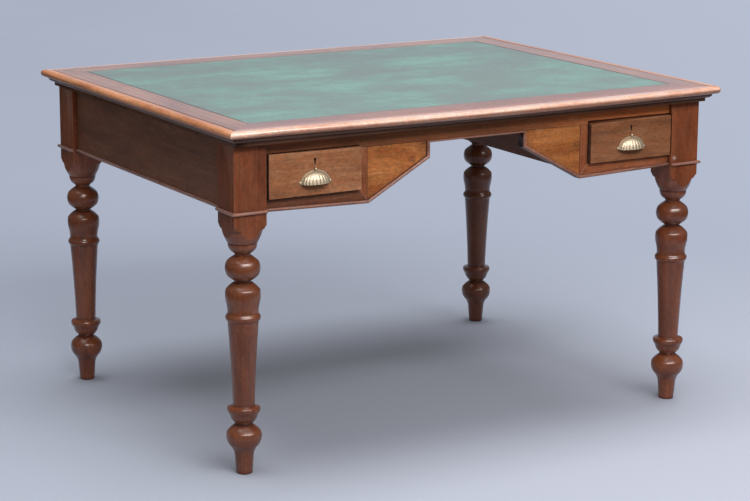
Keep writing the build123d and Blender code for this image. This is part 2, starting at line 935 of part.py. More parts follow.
# Drawers
side_boards = drawer_sides()
lock_case = lock()
seat = Pos(drawer_middle, -front_face, front_foot + pull_rise)
pull_solids = [seat * solid for solid in pull()]
pieces = {
    "drawer_face": [drawer_face(side_boards, lock_body(), pull_solids[1:])],
    "drawer_sides": side_boards,
    "drawer_back": [drawer_back(side_boards)],
    "drawer_bottom": [drawer_bottom()],
    "drawer_pull": pull_solids,
    "drawer_lock": [lock_case],
    "drawer_bolt": [lock_bolt()],
}
for name, (x_side, y_side) in corners.items():
    turn = 180 if y_side > 0 else 0
    side = -x_side if y_side > 0 else x_side
    for piece, solids in pieces.items():
        save(f"{name}_{piece}", *[placed(solid, side, turn) for solid in solids])
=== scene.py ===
import bmesh
import bpy
import json
import math
import random
from mathutils import Matrix, Vector, noise
from mathutils.bvhtree import BVHTree

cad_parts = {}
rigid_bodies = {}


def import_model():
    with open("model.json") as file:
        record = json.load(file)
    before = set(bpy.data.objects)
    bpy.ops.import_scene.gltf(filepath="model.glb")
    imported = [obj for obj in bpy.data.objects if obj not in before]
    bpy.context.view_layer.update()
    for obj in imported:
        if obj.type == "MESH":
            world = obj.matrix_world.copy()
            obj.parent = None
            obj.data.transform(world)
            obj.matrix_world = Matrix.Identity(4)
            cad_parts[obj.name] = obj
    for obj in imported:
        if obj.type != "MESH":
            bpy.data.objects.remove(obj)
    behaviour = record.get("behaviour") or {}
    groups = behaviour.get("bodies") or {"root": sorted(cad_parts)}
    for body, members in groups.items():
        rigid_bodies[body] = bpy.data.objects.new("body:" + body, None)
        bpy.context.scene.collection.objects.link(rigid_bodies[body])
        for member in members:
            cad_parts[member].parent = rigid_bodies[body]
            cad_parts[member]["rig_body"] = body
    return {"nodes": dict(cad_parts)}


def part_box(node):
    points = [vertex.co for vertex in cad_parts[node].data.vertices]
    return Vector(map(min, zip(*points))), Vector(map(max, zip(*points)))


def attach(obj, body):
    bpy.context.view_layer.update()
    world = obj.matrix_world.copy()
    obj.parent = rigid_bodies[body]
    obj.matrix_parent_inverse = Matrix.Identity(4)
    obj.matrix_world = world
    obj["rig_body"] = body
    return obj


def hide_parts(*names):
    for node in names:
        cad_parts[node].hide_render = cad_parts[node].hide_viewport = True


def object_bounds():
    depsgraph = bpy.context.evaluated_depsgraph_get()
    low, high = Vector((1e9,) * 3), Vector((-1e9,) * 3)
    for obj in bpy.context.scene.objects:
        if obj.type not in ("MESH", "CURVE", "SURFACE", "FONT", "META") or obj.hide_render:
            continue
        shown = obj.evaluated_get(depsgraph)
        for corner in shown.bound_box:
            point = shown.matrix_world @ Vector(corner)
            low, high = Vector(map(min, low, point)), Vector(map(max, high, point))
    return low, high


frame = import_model()
cad_low, cad_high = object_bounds()

# Camera, fitted to the photograph: metres and degrees
CAMERA_PLACE = (-2.7226, -4.6112, 1.5763)
CAMERA_YAW = 30.595
CAMERA_PITCH = 13.008
CAMERA_ROLL = -0.248
CAMERA_LENS = 110.95
SENSOR_WIDTH = 36.0

MM = 0.001
SOFT_EDGE = 0.9 * MM
FINE_EDGE = 0.4 * MM
OPEN_JOINT = 2.0 * MM
SEAM_REACH = 0.8 * MM
SHARP_ANGLE = math.radians(30)
FLAT_ANGLE = math.radians(0.4)
BEND_STEP = 60 * MM
LONG_EDGE = 10 * MM
CLOSE_POINTS = 0.002 * MM
CUT_REACH = 0.001 * MM
SAME_WAY = 0.99
END_FACE = 0.9
# Share of the dark seam colour on drawer-front end faces: part stain, part painted shade.
END_STAIN_AND_SHADE = 0.75
SHADING_WEIGHT = 80
ALONG_X, ALONG_Y, ALONG_Z = Vector((1, 0, 0)), Vector((0, 1, 0)), Vector((0, 0, 1))
SIDES = ("front", "back")
CORNERS = ("front_left", "front_right", "back_left", "back_right")


def linear(red, green, blue):
    """A scene colour from 0 to 255 display values."""
    def one(value):
        share = value / 255
        return share / 12.92 if share <= 0.04045 else ((share + 0.055) / 1.055) ** 2.4

    return (one(red), one(green), one(blue), 1.0)


def grey(value):
    return (value, value, value, 1.0)


class Graph:
    """A node material under construction."""

    def __init__(self, name):
        self.material = bpy.data.materials.new(name)
        self.material.use_nodes = True
        self.nodes = self.material.node_tree.nodes
        self.links = self.material.node_tree.links
        self.nodes.clear()

    def node(self, kind, inputs=None, **settings):
        """A node with its settings, and its inputs set or linked by name or number."""
        made = self.nodes.new("ShaderNode" + kind)
        for key, value in settings.items():
            setattr(made, key, value)
        for key, value in (inputs or {}).items():
            socket = made.inputs[key]
            if isinstance(value, bpy.types.NodeSocket):
                self.links.new(value, socket)
            else:
                socket.default_value = value
        return made

    def attribute(self, name, output="Vector"):
        return self.node("Attribute", attribute_name=name).outputs[output]

    def place(self):
        """The place on the object in metres."""
        return self.node("TexCoord").outputs["Object"]

    def scaled(self, vector, scale, shift=(0, 0, 0)):
        """The vector times a scale, plus a shift."""
        inputs = {0: vector, 1: scale, 2: shift}
        return self.node("VectorMath", inputs, operation="MULTIPLY_ADD").outputs["Vector"]

    def noise(self, vector, detail=2.0, roughness=0.5, distortion=0.0):
        """Noise of size one over the vector."""
        inputs = {
            "Vector": vector, "Scale": 1.0, "Detail": detail,
            "Roughness": roughness, "Distortion": distortion,
        }
        return self.node("TexNoise", inputs).outputs["Fac"]

    def maths(self, operation, first, second=0.0, third=0.0):
        inputs = {0: first, 1: second, 2: third}
        return self.node("Math", inputs, operation=operation).outputs[0]

    def vary(self, base, value, weight):
        """The base plus a weight times the value's distance from a half."""
        centred = self.maths("SUBTRACT", value, 0.5)
        return self.maths("MULTIPLY_ADD", centred, weight, base)

    def spread(self, value, low, high, to_low=0.0, to_high=1.0):
        """The value's range from low to high, smoothly spread over another range."""
        inputs = {"Value": value, "From Min": low, "From Max": high, "To Min": to_low, "To Max": to_high}
        return self.node("MapRange", inputs, interpolation_type="SMOOTHSTEP").outputs["Result"]

    def ramp(self, value, stops):
        """A colour ramp from (place, colour) stops."""
        made = self.node("ValToRGB", {"Fac": value})
        elements = made.color_ramp.elements
        while len(elements) < len(stops):
            elements.new(1.0)
        for element, (place, colour) in zip(elements, stops):
            element.position = place
            element.color = colour
        return made.outputs["Color"]

    def mix(self, share, first, second, blend="MIX"):
        """Two colours mixed by a share."""
        inputs = {0: share, 6: first, 7: second}
        return self.node("Mix", inputs, data_type="RGBA", blend_type=blend).outputs[2]

    def darken(self, share, colour, factor):
        """The colour, multiplied by a factor colour by a share."""
        return self.mix(share, colour, self.mix(1.0, colour, factor, "MULTIPLY"))

    def bump(self, height, strength, distance, normal=None):
        inputs = {"Height": height, "Strength": strength, "Distance": distance}
        if normal:
            inputs["Normal"] = normal
        return self.node("Bump", inputs).outputs["Normal"]

    def crevice(self, distance):
        """One in the open, falling to zero deep in a corner."""
        return self.node("AmbientOcclusion", {"Distance": distance}, samples=8).outputs["AO"]

    def near(self, centre, radius):
        """One at a place on the object, falling to zero at a radius."""
        inputs = {0: self.place(), 1: centre}
        away = self.node("VectorMath", inputs, operation="DISTANCE").outputs["Value"]
        return self.spread(away, 0.0, radius, 1.0, 0.0)

    def finish(self, **shader):
        """The material, with its main shader's inputs given by name."""
        inputs = {key.replace("_", " "): value for key, value in shader.items()}
        surface = self.node("BsdfPrincipled", inputs)
        self.node("OutputMaterial", {"Surface": surface.outputs["BSDF"]})
        return self.material


# Dark joint colour, also laid on drawer-front end faces: there part stain, part painted shade.
SEAM_STAIN_AND_END_SHADE = linear(30, 18, 14)
DIRT_AND_SHADE_TINT = (0.26, 0.19, 0.17, 1.0)


def wood(name, dark, middle, light, worn, rough=0.42, coat=0.15, figure=1.0, rings=0.0, dirt_and_shade=0.6,
         dirt_and_shade_reach=14 * MM, dents=0.0, fade=None, marks=(), specular=0.35, mottled=1.0,
         coat_rough=0.2, uneven=0.25):
    """Wood along the grain attribute's first axis, with pores, stains, dark seams, worn edges, and crevice
    darkening that is part dirt and part painted shade.
    """
    g = Graph(name)
    grain = g.attribute("grain")
    drift = g.noise(g.scaled(grain, (1.8, 7, 7)), 1.0)
    wander = g.maths("MULTIPLY_ADD", drift, 0.05, -0.025)
    shift = g.node("CombineXYZ", {"Y": wander, "Z": wander}).outputs["Vector"]
    path = g.node("VectorMath", {0: grain, 1: shift}, operation="ADD").outputs["Vector"]
    ribbons = g.noise(g.scaled(path, (1.4, 60, 60)), 2.0, 0.5)
    streaks = g.noise(g.scaled(path, (7, 330, 330)), 3.0, 0.6)
    blotch = g.noise(g.scaled(grain, (5, 14, 14), (7, 3, 1)), 3.0, 0.6, 0.4)
    value = g.vary(0.5, ribbons, 0.9 * figure)
    value = g.vary(value, streaks, 0.75 * figure)
    value = g.vary(value, blotch, 1.1)
    if rings:
        ring_wave = g.node(
            "TexWave",
            {"Vector": g.scaled(path, (0.25, 1, 1), (0, 0.045, 0.11)),
             "Scale": 30.0, "Distortion": 3.0, "Detail": 2.0, "Detail Scale": 1.5},
            wave_type="RINGS", rings_direction="X", wave_profile="SAW",
        ).outputs["Fac"]
        value = g.vary(value, ring_wave, rings)
    body = g.ramp(value, [(0.12, dark), (0.5, middle), (0.88, light)])
    tone = g.attribute("tone", "Fac")
    body = g.mix(1.0, body, tone, "MULTIPLY")
    mottle = g.noise(g.scaled(grain, (110, 190, 190), (3, 9, 5)), 3.0, 0.75)
    body = g.mix(1.0, body, g.vary(1.0, mottle, mottled), "MULTIPLY")
    redness = g.noise(g.scaled(grain, (26, 70, 70), (8, 2, 6)), 3.0, 0.7)
    body = g.darken(g.spread(redness, 0.38, 0.62), body, (1.04, 0.9, 0.8, 1))
    pores = g.noise(g.scaled(grain, (60, 1300, 1300)), 1.0)
    pore = g.spread(pores, 0.58, 0.7)
    body = g.darken(g.maths("MULTIPLY", pore, 0.5), body, grey(0.4))
    if fade:
        axis, span, factor = fade
        level = g.node("SeparateXYZ", {0: g.place()}).outputs[axis]
        if axis == "Y":
            level = g.maths("ABSOLUTE", level)
        body = g.darken(g.spread(level, span[0], span[1], 1.0, 0.0), body, factor)
    # Darkening in crevices and corners from ambient occlusion: part dirt, part painted shade where shade
    # falls.
    ragged = g.noise(g.scaled(grain, (25, 60, 60), (2, 5, 3)), 4.0, 0.7)
    open_air = g.vary(g.crevice(dirt_and_shade_reach), ragged, 0.5)
    dirt_and_shade_mask = g.spread(open_air, 0.3, 0.95, dirt_and_shade, 0.0)
    body = g.darken(dirt_and_shade_mask, body, DIRT_AND_SHADE_TINT)
    patchy = g.spread(g.noise(g.scaled(grain, (45, 120, 120)), 3.0, 0.7), 0.36, 0.6)
    wear = g.maths("MULTIPLY", g.attribute("edge", "Fac"), patchy)
    body = g.mix(g.maths("MULTIPLY", wear, 0.7), body, worn)
    seam = g.attribute("seam", "Fac")
    body = g.mix(g.maths("MULTIPLY", seam, 0.92), body, SEAM_STAIN_AND_END_SHADE)
    for centre, radius, colour in marks:
        rough_edge = g.spread(g.noise(g.scaled(g.place(), (420, 420, 420)), 3.0, 0.7), 0.4, 0.56)
        body = g.mix(g.maths("MULTIPLY", g.near(centre, radius), rough_edge), body, colour)
    shine = g.vary(rough, blotch, 0.25)
    shine = g.vary(shine, streaks, 0.15)
    shine = g.maths("MULTIPLY_ADD", dirt_and_shade_mask, 0.25, shine)
    shine = g.maths("MULTIPLY_ADD", seam, 0.4, shine)
    polish = g.maths("MULTIPLY_ADD", seam, -coat, coat)
    relief = g.maths("MULTIPLY_ADD", pore, -1.0, streaks)
    normal = g.bump(relief, 0.2, 0.3 * MM)
    swell = g.noise(g.scaled(grain, (7, 34, 34)), 2.0)
    normal = g.bump(swell, uneven, 1.0 * MM, normal)
    if dents:
        knock = g.noise(g.scaled(grain, (55, 90, 90), (4, 1, 2)), 2.0, 0.5)
        normal = g.bump(g.spread(knock, 0.6, 0.74, 0.0, -1.0), dents, 1.6 * MM, normal)
    return g.finish(
        Base_Color=body, Roughness=shine, Normal=normal,
        Specular_IOR_Level=specular, Coat_Weight=polish, Coat_Roughness=coat_rough,
    )


# Marks: a place on the object in metres, a radius and a colour
LEATHER_FLECK = ((-0.5423, -0.3926, 0.754), 5 * MM, linear(235, 228, 220))
BLOCK_CHIP = ((0.5355, -0.454, 0.5885), 7 * MM, linear(226, 214, 206))
PANEL_STAINS = (
    ((-0.139, -0.441, 0.679), 26 * MM, linear(84, 44, 30)),
    ((-0.165, -0.441, 0.648), 15 * MM, linear(96, 52, 34)),
    ((0.268, -0.441, 0.64), 16 * MM, linear(96, 50, 30)),
    ((0.165, -0.441, 0.686), 16 * MM, linear(204, 146, 100)),
)


def leather(name):
    """Old green desk leather: mottled, rubbed along the desk and finely grained."""
    g = Graph(name)
    place = g.place()
    cloud = g.noise(g.scaled(place, (4.6, 7.5, 4), (4.2, 1.1, 0)), 3.0, 0.55, 0.3)
    smear = g.noise(g.scaled(place, (30, 44, 10), (1.5, 8, 0)), 5.0, 0.75, 0.6)
    speck = g.noise(g.scaled(place, (230, 120, 90)), 3.0, 0.75)
    value = g.vary(0.5, cloud, 1.7)
    value = g.vary(value, smear, 1.1)
    value = g.vary(value, speck, 1.25)
    body = g.ramp(value, [
        (0.15, linear(122, 136, 132)),
        (0.42, linear(121, 145, 136)),
        (0.62, linear(120, 160, 147)),
        (0.9, linear(132, 182, 163)),
    ])
    body = g.mix(g.spread(speck, 0.5, 0.8, 0.0, 0.3), body, linear(134, 142, 138))
    # The leather's rim is painted near black: painted shade in the groove along the border.
    rim = g.attribute("edge", "Fac")
    body = g.mix(g.maths("MULTIPLY", rim, 0.9), body, linear(28, 32, 30))
    fleck_place, fleck_radius, fleck_colour = LEATHER_FLECK
    body = g.mix(g.near(fleck_place, fleck_radius), body, fleck_colour)
    cells = g.node(
        "TexVoronoi", {"Vector": place, "Scale": 850.0}, feature="DISTANCE_TO_EDGE",
    ).outputs["Distance"]
    normal = g.bump(g.spread(cells, 0.0, 0.25), 0.16, 0.2 * MM)
    normal = g.bump(g.noise(g.scaled(place, (35, 45, 30)), 3.0), 0.25, 0.8 * MM, normal)
    shine = g.vary(0.52, cloud, -0.25)
    return g.finish(
        Base_Color=body, Roughness=shine, Normal=normal,
        Specular_IOR_Level=0.5, Coat_Weight=0.8, Coat_Roughness=0.35,
    )


def brass(name, clean, tarnish, rough):
    """Cast brass, bright on its ridges and brown in its hollows."""
    g = Graph(name)
    place = g.place()
    cloud = g.noise(g.scaled(place, (120, 120, 120)), 4.0, 0.65)
    hidden = g.spread(g.crevice(4 * MM), 0.3, 0.9, 1.0, 0.0)
    stained = g.spread(cloud, 0.46, 0.74, 0.0, 0.4)
    share = g.maths("MAXIMUM", hidden, stained)
    body = g.mix(share, clean, tarnish)
    shine = g.maths("MULTIPLY_ADD", share, 0.22, rough)
    normal = g.bump(g.noise(g.scaled(place, (420, 420, 420)), 3.0), 0.2, 0.2 * MM)
    return g.finish(Base_Color=body, Roughness=shine, Normal=normal, Metallic=1.0)


def steel(name, clean, stain):
    """Plain steel with a little rust."""
    g = Graph(name)
    cloud = g.noise(g.scaled(g.place(), (160, 160, 160)), 5.0, 0.7)
    rust = g.spread(cloud, 0.5, 0.68)
    body = g.mix(rust, clean, stain)
    shine = g.spread(rust, 0.0, 1.0, 0.35, 0.8)
    normal = g.bump(cloud, 0.3, 0.2 * MM)
    return g.finish(Base_Color=body, Roughness=shine, Normal=normal, Metallic=0.85)


# Fades: an axis, where in metres the tint is full and where it ends, and the tint. Y is measured
# from the middle of the desk towards both long sides.
BORDER_FADE = ("Y", (0.425, 0.482), (0.68, 0.74, 0.78, 1))
# The two lip tints darken the lower half of each nose: painted shade on its underside.
LIP_FRONT_UNDERSIDE_SHADE = ("Z", (0.7395, 0.7475), (0.4, 0.3, 0.24, 1))
LIP_END_UNDERSIDE_SHADE = ("Z", (0.739, 0.7465), (0.45, 0.36, 0.3, 1))
RAIL_FADE = ("X", (0.0, 0.45), (0.4, 0.45, 0.53, 1))
LEG_FADE = ("Z", (0.44, 0.57), (0.8, 0.8, 0.8, 1))
# Darkens the long bead's back part near black: painted shade on its side inside the arch.
LONG_BEAD_BACK_SHADE = ("Y", (0.4405, 0.4435), (0.12, 0.1, 0.1, 1))
# Darkens the oak nearest the drawer fronts near black: painted shade in the gaps beside the fronts.
OAK_GAP_SHADE = ("Y", (0.4305, 0.4285), (0.12, 0.09, 0.07, 1))

# Woods: display colours of the darkest, middle and lightest grain, and of a worn edge
BORDER_FRONT_WOOD = wood(
    "border_front_wood", linear(157, 105, 83), linear(189, 129, 105), linear(204, 149, 125),
    linear(220, 165, 146), rough=0.38, coat=0.9, dents=0.4, dirt_and_shade=0.35,
    fade=BORDER_FADE)
BORDER_WOOD = wood(
    "border_wood", linear(137, 95, 70), linear(171, 123, 95), linear(194, 148, 118),
    linear(209, 163, 132), rough=0.4, coat=0.9, dents=0.3, dirt_and_shade=0.35)
# The front lip's pale colours and near-white worn colour are partly faded, worn wood, partly a painted
# highlight along the nose.
LIP_FRONT_HIGHLIGHT_WOOD = wood(
    "lip_front_highlight_wood", linear(220, 166, 142), linear(248, 205, 187), linear(255, 225, 209),
    linear(255, 249, 239), rough=0.36, coat=1.0, coat_rough=0.13, dents=0.3, dirt_and_shade=0.3,
    fade=LIP_FRONT_UNDERSIDE_SHADE)
LIP_WOOD = wood(
    "lip_wood", linear(180, 116, 79), linear(219, 152, 109), linear(239, 178, 135),
    linear(245, 196, 163), rough=0.36, coat=0.4, dents=0.5, dirt_and_shade=0.4,
    fade=LIP_END_UNDERSIDE_SHADE)
MOULDING_WOOD = wood(
    "moulding_wood", linear(110, 72, 57), linear(145, 100, 79), linear(168, 117, 95),
    linear(143, 100, 82), rough=0.4, coat=0.2, dirt_and_shade=0.15, dirt_and_shade_reach=6 * MM)
RAIL_WOOD = wood(
    "rail_wood", linear(142, 82, 46), linear(189, 111, 64), linear(224, 137, 83),
    linear(214, 144, 106), rough=0.42, dirt_and_shade=0.12, dirt_and_shade_reach=16 * MM,
    fade=RAIL_FADE)
APRON_WOOD = wood(
    "apron_wood", linear(89, 60, 49), linear(118, 81, 65), linear(139, 98, 77),
    linear(145, 105, 89), rough=0.4, coat=0.2, figure=0.7, dirt_and_shade=0.6, dirt_and_shade_reach=24 * MM)
LEG_WOOD = wood(
    "leg_wood", linear(92, 48, 30), linear(125, 70, 45), linear(149, 90, 59),
    linear(165, 108, 78), rough=0.42, coat=0.95, figure=0.7, dirt_and_shade=0.9, dirt_and_shade_reach=12 * MM,
    specular=0.1, coat_rough=0.25, uneven=0.03, fade=LEG_FADE, marks=(BLOCK_CHIP,))
# The beads' pinkish grey is partly the wood, partly a painted sheen on the lit top of the round.
BEAD_WOOD = wood(
    "bead_wood", linear(124, 88, 82), linear(156, 120, 114), linear(181, 145, 139),
    linear(202, 170, 170), rough=0.3, coat=0.5, dirt_and_shade=0.7)
LONG_BEAD_WOOD = wood(
    "long_bead_wood", linear(125, 84, 73), linear(158, 115, 102), linear(184, 140, 126),
    linear(207, 166, 158), rough=0.42, coat=0.1, dirt_and_shade=0.7, specular=0.2,
    fade=LONG_BEAD_BACK_SHADE)
PANEL_WOOD = wood(
    "panel_wood", linear(134, 72, 36), linear(178, 111, 58), linear(205, 137, 80),
    linear(196, 133, 98), rough=0.44, figure=0.8, dirt_and_shade=0.75, dirt_and_shade_reach=34 * MM, mottled=1.5,
    marks=PANEL_STAINS)
STILE_WOOD = wood(
    "stile_wood", linear(106, 59, 36), linear(145, 86, 55), linear(168, 108, 76),
    linear(182, 124, 108), rough=0.42, dirt_and_shade=0.7, dirt_and_shade_reach=20 * MM, mottled=1.5)
DRAWER_WOOD = wood(
    "drawer_wood", linear(122, 77, 51), linear(159, 106, 72), linear(185, 132, 94),
    linear(191, 140, 109), rough=0.44, figure=0.9, dirt_and_shade=0.7, dirt_and_shade_reach=10 * MM, mottled=1.4)
PINE = wood(
    "pine", linear(120, 84, 52), linear(166, 124, 82), linear(196, 156, 110),
    linear(190, 156, 118), rough=0.7, coat=0.0, rings=0.6, dirt_and_shade=0.6)
OAK = wood(
    "oak", linear(112, 80, 52), linear(150, 114, 78), linear(180, 144, 104),
    linear(176, 146, 112), rough=0.66, coat=0.0, rings=0.4, dirt_and_shade=0.6,
    fade=OAK_GAP_SHADE)
LEATHER = leather("green_leather")
PULL_BRASS = brass("pull_brass", linear(182, 168, 146), linear(168, 140, 108), 0.54)
LOCK_BRASS = brass("lock_brass", linear(190, 160, 104), linear(96, 72, 44), 0.34)
STEEL = steel("lock_steel", linear(150, 148, 146), linear(84, 58, 44))


def islands(work):
    """The separate solids of a bmesh, as lists of vertices in order."""
    left, groups = set(work.verts), []
    for start in work.verts:
        if start not in left:
            continue
        left.discard(start)
        group, queue = [start], [start]
        while queue:
            for edge in queue.pop().link_edges:
                for vertex in edge.verts:
                    if vertex in left:
                        left.discard(vertex)
                        group.append(vertex)
                        queue.append(vertex)
        groups.append(group)
    return groups


def solids_of(node):
    """Each solid of a CAD node as (vertices, faces) in plain lists."""
    work = bmesh.new()
    work.from_mesh(frame["nodes"][node].data)
    bmesh.ops.remove_doubles(work, verts=work.verts, dist=CLOSE_POINTS)
    solids = []
    for group in islands(work):
        index = {vertex: k for k, vertex in enumerate(group)}
        faces = {face for vertex in group for face in vertex.link_faces}
        rows = [[index[v] for v in face.verts] for face in sorted(faces, key=lambda f: f.index)]
        solids.append(([v.co.copy() for v in group], rows))
    work.free()
    return solids


SOLIDS = {node: solids_of(node) for node in frame["nodes"]}


def box_of(points):
    """The lowest and highest corners of some points."""
    return [min(p[i] for p in points) for i in range(3)], [max(p[i] for p in points) for i in range(3)]


NEIGHBOURS = []
for node, solids in SOLIDS.items():
    for number, (points, rows) in enumerate(solids):
        NEIGHBOURS.append((node, number, box_of(points), BVHTree.FromPolygons(points, rows)))


def touching(node, number, box):
    """The other solids whose boxes touch a solid's box."""
    low, high = box
    near = []
    for other, count, (other_low, other_high), tree in NEIGHBOURS:
        if (other, count) == (node, number):
            continue
        if all(low[i] - SEAM_REACH < other_high[i] and other_low[i] < high[i] + SEAM_REACH for i in range(3)):
            near.append(tree)
    return near


def long_axis(points):
    """The level or slanted direction in which points reach furthest, in the XZ plane or along Y."""
    middle = sum(points, Vector()) / len(points)
    low, high = box_of(points)
    reach = [high[i] - low[i] for i in range(3)]
    if reach[1] >= max(reach[0], reach[2]):
        return Vector((0, 1, 0))
    xx = sum((p.x - middle.x) ** 2 for p in points)
    zz = sum((p.z - middle.z) ** 2 for p in points)
    xz = sum((p.x - middle.x) * (p.z - middle.z) for p in points)
    turn = 0.5 * math.atan2(2 * xz, xx - zz)
    return Vector((math.cos(turn), 0, math.sin(turn)))


class Build:
    """Vertices, faces and attributes of a piece, gathered solid by solid."""

    def __init__(self):
        self.points, self.rows, self.sharp = [], [], []
        self.grain, self.edge, self.seam, self.tone = [], [], [], []

    def add(self, work, direction, dice, tone, trees, reach=SEAM_REACH, dark_ends=False):
        """Add one solid from a bmesh, with its own grain coordinates and tone."""
        mark = work.faces.layers.int.get("edge")
        places = [v.co.copy() for v in work.verts]
        along = direction or long_axis(places)
        across = along.cross(ALONG_Z)
        if across.length < 0.1:
            across = ALONG_X.copy()
        across.normalize()
        third = along.cross(across)
        shift = Vector((dice.uniform(-3, 3), dice.uniform(-1, 1), dice.uniform(-1, 1)))
        middle = sum(places, Vector()) / len(places)
        start = len(self.points)
        work.verts.index_update()
        for vertex in work.verts:
            place = vertex.co - middle
            self.points.append(tuple(vertex.co))
            self.grain += [
                place.dot(along) + shift.x, place.dot(across) + shift.y, place.dot(third) + shift.z,
            ]
            self.tone.append(tone)
        for face in work.faces:
            self.rows.append([start + v.index for v in face.verts])
            marked = bool(mark and face[mark])
            joined = marked and all(
                any(tree.find_nearest(v.co, reach)[0] for tree in trees) for v in face.verts
            )
            # End faces of drawer fronts are painted dark: part stain, part painted shade of the narrow gap
            # beside them.
            ending = dark_ends and not marked and abs(face.normal.dot(direction)) > END_FACE
            self.edge.append(float(marked and not joined))
            self.seam.append(1.0 if joined else END_STAIN_AND_SHADE * ending)
        for e in work.edges:
            if not e.smooth:
                self.sharp.append((start + e.verts[0].index, start + e.verts[1].index))

    def mesh(self, name):
        """The finished mesh."""
        mesh = bpy.data.meshes.new(name)
        mesh.from_pydata(self.points, [], self.rows)
        mesh.attributes.new("grain", "FLOAT_VECTOR", "POINT").data.foreach_set("vector", self.grain)
        mesh.attributes.new("tone", "FLOAT", "POINT").data.foreach_set("value", self.tone)
        for key in ("edge", "seam"):
            mesh.attributes.new(key, "FLOAT", "FACE").data.foreach_set("value", getattr(self, key))
        mesh.polygons.foreach_set("use_smooth", [True] * len(self.rows))
        if self.sharp:
            sharp = {frozenset(pair) for pair in self.sharp}
            marks = [frozenset(e.vertices) in sharp for e in mesh.edges]
            mesh.attributes.new("sharp_edge", "BOOLEAN", "EDGE").data.foreach_set("value", marks)
        mesh.validate()
        mesh.update()
        return mesh


def runs_along(edge, direction):
    """Whether a long edge keeps to a direction."""
    span = edge.verts[1].co - edge.verts[0].co
    return span.length > LONG_EDGE and abs(span.normalized().dot(direction)) > SAME_WAY


def soften(points, rows, edge_size, shape=None, bend=None, only=None, cuts=()):
    """A bmesh of one solid with its flat faces merged and its sharp edges rounded.

    With a direction, only the long edges along it are rounded.
    """
    work = bmesh.new()
    made = [work.verts.new(p) for p in points]
    for row in rows:
        work.faces.new([made[k] for k in row])
    if shape:
        for vertex in work.verts:
            vertex.co = shape(vertex.co)
    bmesh.ops.dissolve_limit(
        work, angle_limit=FLAT_ANGLE, verts=work.verts, edges=work.edges, use_dissolve_boundaries=False,
    )
    mark = work.faces.layers.int.new("edge")
    sharp = [e for e in work.edges if len(e.link_faces) == 2 and e.calc_face_angle(0) > SHARP_ANGLE]
    if only:
        for e in sharp:
            e.smooth = runs_along(e, only)
        sharp = [e for e in sharp if e.smooth]
    if edge_size:
        rounded = bmesh.ops.bevel(
            work, geom=sharp, offset=edge_size, segments=2, profile=0.5, affect="EDGES",
            clamp_overlap=not only, loop_slide=True,
        )
        for face in rounded["faces"]:
            face[mark] = 1
    else:
        for e in sharp:
            e.smooth = False
    if bend:
        low, high = box_of([v.co for v in work.verts])
        steps = math.ceil((high[0] - low[0]) / BEND_STEP)
        for cut in cuts or [low[0] + (high[0] - low[0]) * k / steps for k in range(1, steps)]:
            parts = [*work.verts, *work.edges, *work.faces]
            bmesh.ops.bisect_plane(
                work, geom=parts, dist=CUT_REACH, plane_co=ALONG_X * cut, plane_no=ALONG_X,
            )
        for vertex in work.verts:
            vertex.co = bend(vertex.co)
    return work


def new_piece(name, mesh, material, body):
    """A piece of the object: linked, painted and riding on its body."""
    piece = bpy.data.objects.new(name, mesh)
    bpy.context.scene.collection.objects.link(piece)
    mesh.materials.clear()
    mesh.materials.append(material)
    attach(piece, body)
    weighted = piece.modifiers.new("weighted", "WEIGHTED_NORMAL")
    weighted.keep_sharp = True
    weighted.weight = SHADING_WEIGHT
    return piece


def refine(name, node, material, edge_size=SOFT_EDGE, direction=None, tone=None, shape=None, bend=None,
           lengthwise=False, cuts=(), dark_ends=False):
    """Replace a CAD node by a softened piece whose solids each have their own grain and tone."""
    dice = random.Random(name)
    build = Build()
    for number, (points, rows) in enumerate(SOLIDS[node]):
        box = box_of(points)
        middle = [(box[0][i] + box[1][i]) / 2 for i in range(3)]
        shade = tone(middle) if tone else dice.uniform(0.95, 1.05)
        work = soften(points, rows, edge_size, shape, bend, direction if lengthwise else None, cuts)
        work.normal_update()
        reach = max(SEAM_REACH, 1.2 * edge_size)
        build.add(work, direction, dice, shade, touching(node, number, box), reach, dark_ends)
        work.free()
    piece = new_piece(name, build.mesh(name), material, frame["nodes"][node]["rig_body"])
    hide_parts(node)
    return piece


BAY_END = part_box("leg_front_right")[0][0]
STILE_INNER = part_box("spandrels_front")[1][0]
FRIEZE_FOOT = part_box("spandrels_front")[0][2]
DRAWER_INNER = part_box("front_right_drawer_face")[0][0]
DRAWER_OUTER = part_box("front_right_drawer_face")[1][0]
DRAWER_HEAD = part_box("front_right_drawer_face")[1][2]
DRAWER_FACE = -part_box("front_right_drawer_face")[0][1]
LOCK_FRONT = -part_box("front_right_drawer_lock")[0][1]
FRIEZE_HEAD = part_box("spandrels_front")[1][2]
STILE_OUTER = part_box("stiles_front")[1][0]
ARCH_HEAD = FRIEZE_HEAD - 7 * MM
EDGE_REACH = 1 * MM

# How the old desk is out of true
FRIEZE_SINK = 6.5 * MM
SINK_HEIGHT = 4 * MM
RAIL_DIP = 6.5 * MM
BEAD_DROP = 3.0 * MM
BEAD_THICKNESS = 0.6
LEFT_DRAWER_SLOPE = (-1.2 * MM, 1.6 * MM)
RIGHT_DRAWER_SLOPE = (-4.6 * MM, -1.2 * MM)
LEFT_DRAWER_SHORT = 3.4 * MM
RIGHT_DRAWER_SHORT = 1.2 * MM
DRAWER_END_REACH = 0.5 * MM
TOP_SAG = 5.2 * MM
SAG_MIDDLE = 0.1
SAG_LENGTH = 1.2
RAIL_CUTS = [side * (STILE_OUTER + step * MM) for side in (-1, 1) for step in (-0.5, 0.5)]


def settled(place):
    """How the frieze's lower edge has sunk from the legs towards the kneehole."""
    if place.z > FRIEZE_FOOT + SINK_HEIGHT:
        return place
    share = (BAY_END - abs(place.x)) / (BAY_END - STILE_INNER)
    return Vector((place.x, place.y, place.z - FRIEZE_SINK * min(max(share, 0), 1)))


